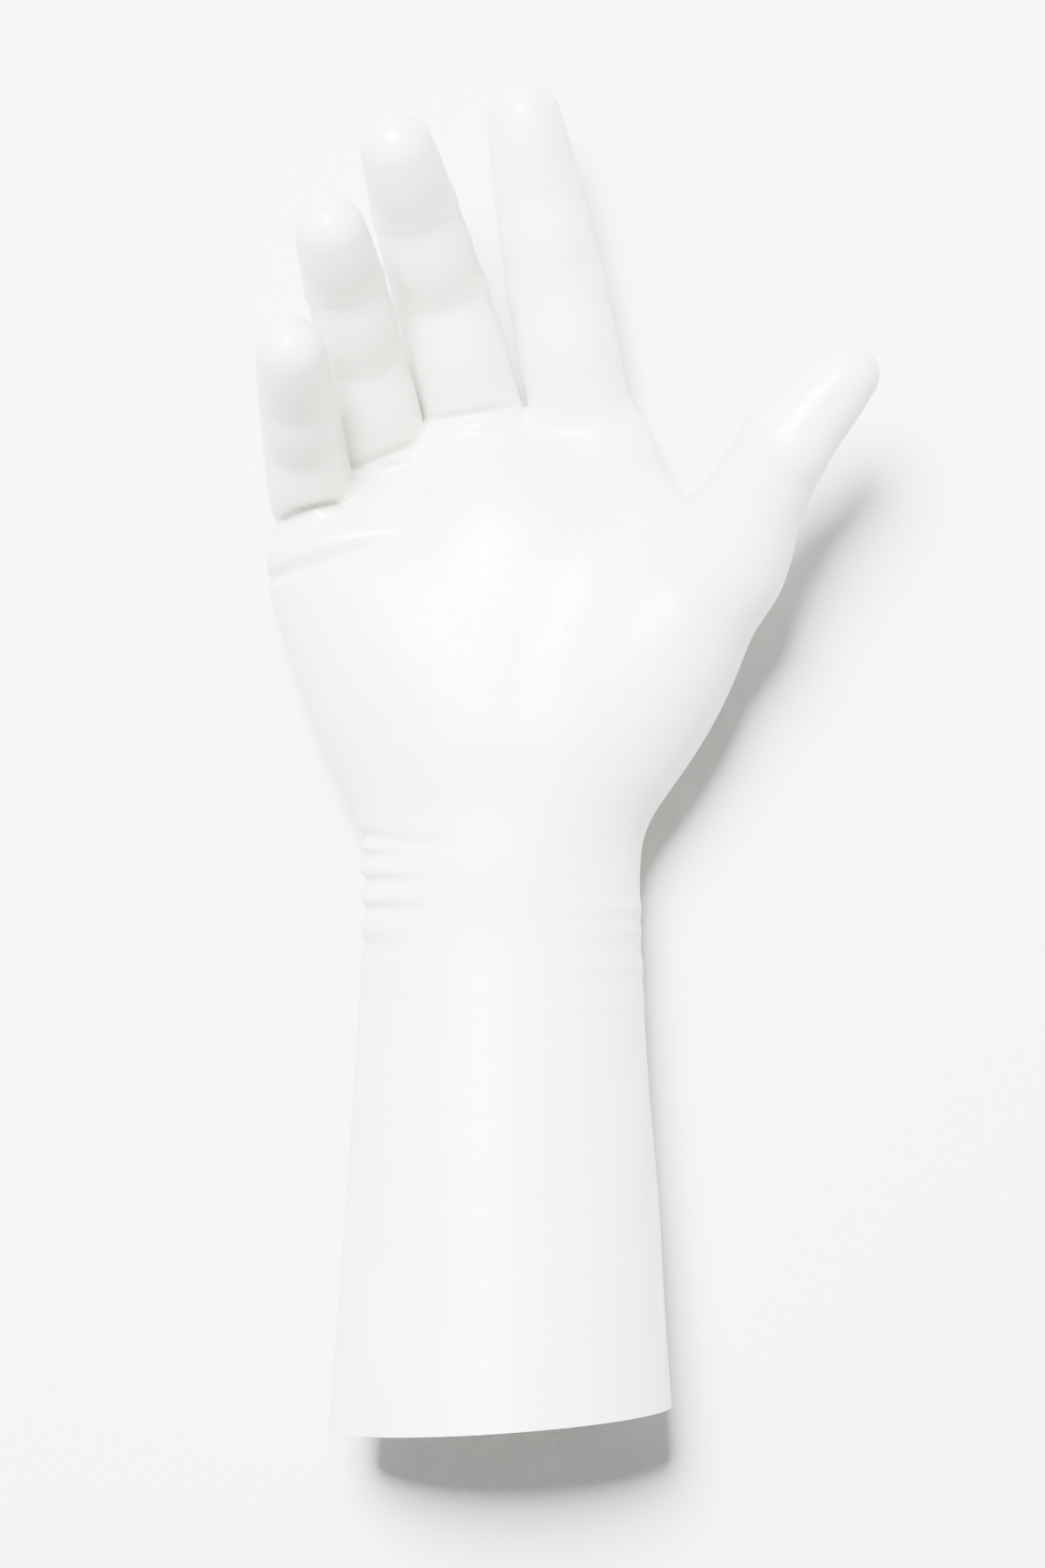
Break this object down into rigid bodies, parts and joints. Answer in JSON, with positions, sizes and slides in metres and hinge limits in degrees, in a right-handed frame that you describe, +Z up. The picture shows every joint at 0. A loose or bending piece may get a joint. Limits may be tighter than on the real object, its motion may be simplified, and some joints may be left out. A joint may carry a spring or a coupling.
{
  "type": "latex glove",
  "caption": "Thin long-cuff dipped latex glove for the right hand, in its worn shape with the palm up, divided at its flexion creases so that wrist, thumb and fingers bend.",
  "frame": {"origin": "on the surface that the glove lies on, under the middle of its bounding box", "axes": "+Y from the cuff to the fingertips, +Z up out of the palm, +X towards the thumb"},
  "size_m": [0.1336, 0.294, 0.066],
  "materials": {
    "latex": "matt to satin"
  },
  "bodies": {
    "cuff": {"cuff": "latex", "wrist_side_crease": "latex"},
    "wrist_band": {"wrist_band": "latex", "wrist_palm_crease": "latex"},
    "palm": {"palm": "latex", "thumb_base_crease": "latex", "index_root_crease": "latex", "middle_root_crease": "latex", "ring_root_crease": "latex", "little_root_crease": "latex"},
    "thumb_base": {"thumb_base": "latex", "thumb_lower_crease": "latex"},
    "index_lower_sleeve": {"index_lower_sleeve": "latex", "index_middle_crease": "latex"},
    "index_middle_sleeve": {"index_middle_sleeve": "latex", "index_end_crease": "latex"},
    "index_tip": {"index_tip": "latex"},
    "middle_lower_sleeve": {"middle_lower_sleeve": "latex", "middle_middle_crease": "latex"},
    "middle_middle_sleeve": {"middle_middle_sleeve": "latex", "middle_end_crease": "latex"},
    "middle_tip": {"middle_tip": "latex"},
    "ring_lower_sleeve": {"ring_lower_sleeve": "latex", "ring_middle_crease": "latex"},
    "ring_middle_sleeve": {"ring_middle_sleeve": "latex", "ring_end_crease": "latex"},
    "ring_tip": {"ring_tip": "latex"},
    "little_lower_sleeve": {"little_lower_sleeve": "latex", "little_middle_crease": "latex"},
    "little_middle_sleeve": {"little_middle_sleeve": "latex", "little_end_crease": "latex"},
    "little_tip": {"little_tip": "latex"},
    "thumb_lower_sleeve": {"thumb_lower_sleeve": "latex", "thumb_end_crease": "latex"},
    "thumb_tip": {"thumb_tip": "latex"}
  },
  "joints": [
    {"name": "wrist_side_bend", "type": "hinge", "parent": "cuff", "child": "wrist_band", "pos_m": [-0.0147, -0.03854, 0.021], "axis": [0, 0, 1], "range_deg": [-15, 25], "stiffness_Nm_per_rad": 0.3, "deforming": ["wrist_side_crease"]},
    {"name": "wrist_palm_bend", "type": "hinge", "parent": "wrist_band", "child": "palm", "pos_m": [-0.0147, -0.01754, 0.021], "axis": [1, 0, 0], "range_deg": [-35, 45], "stiffness_Nm_per_rad": 0.3, "deforming": ["wrist_palm_crease"]},
    {"name": "thumb_base_swing", "type": "hinge", "parent": "palm", "child": "thumb_base", "pos_m": [0.0183, 0.01946, 0.03], "axis": [0, 1, 0], "range_deg": [-25, 10], "stiffness_Nm_per_rad": 0.1, "deforming": ["thumb_base_crease"]},
    {"name": "index_root_bend", "type": "hinge", "parent": "palm", "child": "index_lower_sleeve", "pos_m": [0.00234, 0.07726, 0.01628], "axis": [0.9816, 0.1908, 0], "range_deg": [-10, 58], "stiffness_Nm_per_rad": 0.03, "deforming": ["index_root_crease"]},
    {"name": "index_middle_bend", "type": "hinge", "parent": "index_lower_sleeve", "child": "index_middle_sleeve", "pos_m": [-0.00249, 0.10213, 0.02075], "axis": [0.9816, 0.1908, 0], "range_deg": [-4, 76], "stiffness_Nm_per_rad": 0.02, "deforming": ["index_middle_crease"]},
    {"name": "index_end_bend", "type": "hinge", "parent": "index_middle_sleeve", "child": "index_tip", "pos_m": [-0.00656, 0.12305, 0.02573], "axis": [0.9816, 0.1908, 0], "range_deg": [-2, 53], "stiffness_Nm_per_rad": 0.01, "deforming": ["index_end_crease"]},
    {"name": "middle_root_bend", "type": "hinge", "parent": "palm", "child": "middle_lower_sleeve", "pos_m": [-0.02059, 0.07609, 0.01618], "axis": [0.9511, 0.309, 0], "range_deg": [-20, 48], "stiffness_Nm_per_rad": 0.03, "deforming": ["middle_root_crease"]},
    {"name": "middle_middle_bend", "type": "hinge", "parent": "middle_lower_sleeve", "child": "middle_middle_sleeve", "pos_m": [-0.0278, 0.09967, 0.02506], "axis": [0.9563, 0.2924, 0], "range_deg": [-22, 58], "stiffness_Nm_per_rad": 0.02, "deforming": ["middle_middle_crease"]},
    {"name": "middle_end_bend", "type": "hinge", "parent": "middle_middle_sleeve", "child": "middle_tip", "pos_m": [-0.03293, 0.11646, 0.04063], "axis": [0.9563, 0.2924, 0], "range_deg": [-8, 47], "stiffness_Nm_per_rad": 0.01, "deforming": ["middle_end_crease"]},
    {"name": "ring_root_bend", "type": "hinge", "parent": "palm", "child": "ring_lower_sleeve", "pos_m": [-0.03957, 0.06592, 0.01576], "axis": [0.9336, 0.3584, 0], "range_deg": [-35, 35], "stiffness_Nm_per_rad": 0.03, "deforming": ["ring_root_crease"]},
    {"name": "ring_middle_bend", "type": "hinge", "parent": "ring_lower_sleeve", "child": "ring_middle_sleeve", "pos_m": [-0.04437, 0.0852, 0.02971], "axis": [0.9389, 0.337, 0.0699], "range_deg": [-11, 69], "stiffness_Nm_per_rad": 0.02, "deforming": ["ring_middle_crease"]},
    {"name": "ring_end_bend", "type": "hinge", "parent": "ring_middle_sleeve", "child": "ring_tip", "pos_m": [-0.04812, 0.10022, 0.0456], "axis": [0.9703, 0.2419, 0], "range_deg": [-9, 46], "stiffness_Nm_per_rad": 0.01, "deforming": ["ring_end_crease"]},
    {"name": "little_root_bend", "type": "hinge", "parent": "palm", "child": "little_lower_sleeve", "pos_m": [-0.05663, 0.05469, 0.01565], "axis": [0.866, 0.5, 0], "range_deg": [-50, 14], "stiffness_Nm_per_rad": 0.03, "deforming": ["little_root_crease"]},
    {"name": "little_middle_bend", "type": "hinge", "parent": "little_lower_sleeve", "child": "little_middle_sleeve", "pos_m": [-0.0577, 0.06683, 0.03037], "axis": [0.9962, 0.0872, 0], "range_deg": [-8, 67], "stiffness_Nm_per_rad": 0.02, "deforming": ["little_middle_crease"]},
    {"name": "little_end_bend", "type": "hinge", "parent": "little_middle_sleeve", "child": "little_tip", "pos_m": [-0.05853, 0.07635, 0.04544], "axis": [0.9962, 0.0872, 0], "range_deg": [-2, 48], "stiffness_Nm_per_rad": 0.01, "deforming": ["little_end_crease"]},
    {"name": "thumb_lower_bend", "type": "hinge", "parent": "thumb_base", "child": "thumb_lower_sleeve", "pos_m": [0.03249, 0.04288, 0.03545], "axis": [-0.471, 0.4914, -0.7326], "range_deg": [-50, 10], "stiffness_Nm_per_rad": 0.03, "deforming": ["thumb_lower_crease"]},
    {"name": "thumb_end_bend", "type": "hinge", "parent": "thumb_lower_sleeve", "child": "thumb_tip", "pos_m": [0.04503, 0.067, 0.04356], "axis": [-0.471, 0.4914, -0.7326], "range_deg": [-75, 5], "stiffness_Nm_per_rad": 0.01, "deforming": ["thumb_end_crease"]}
  ]
}
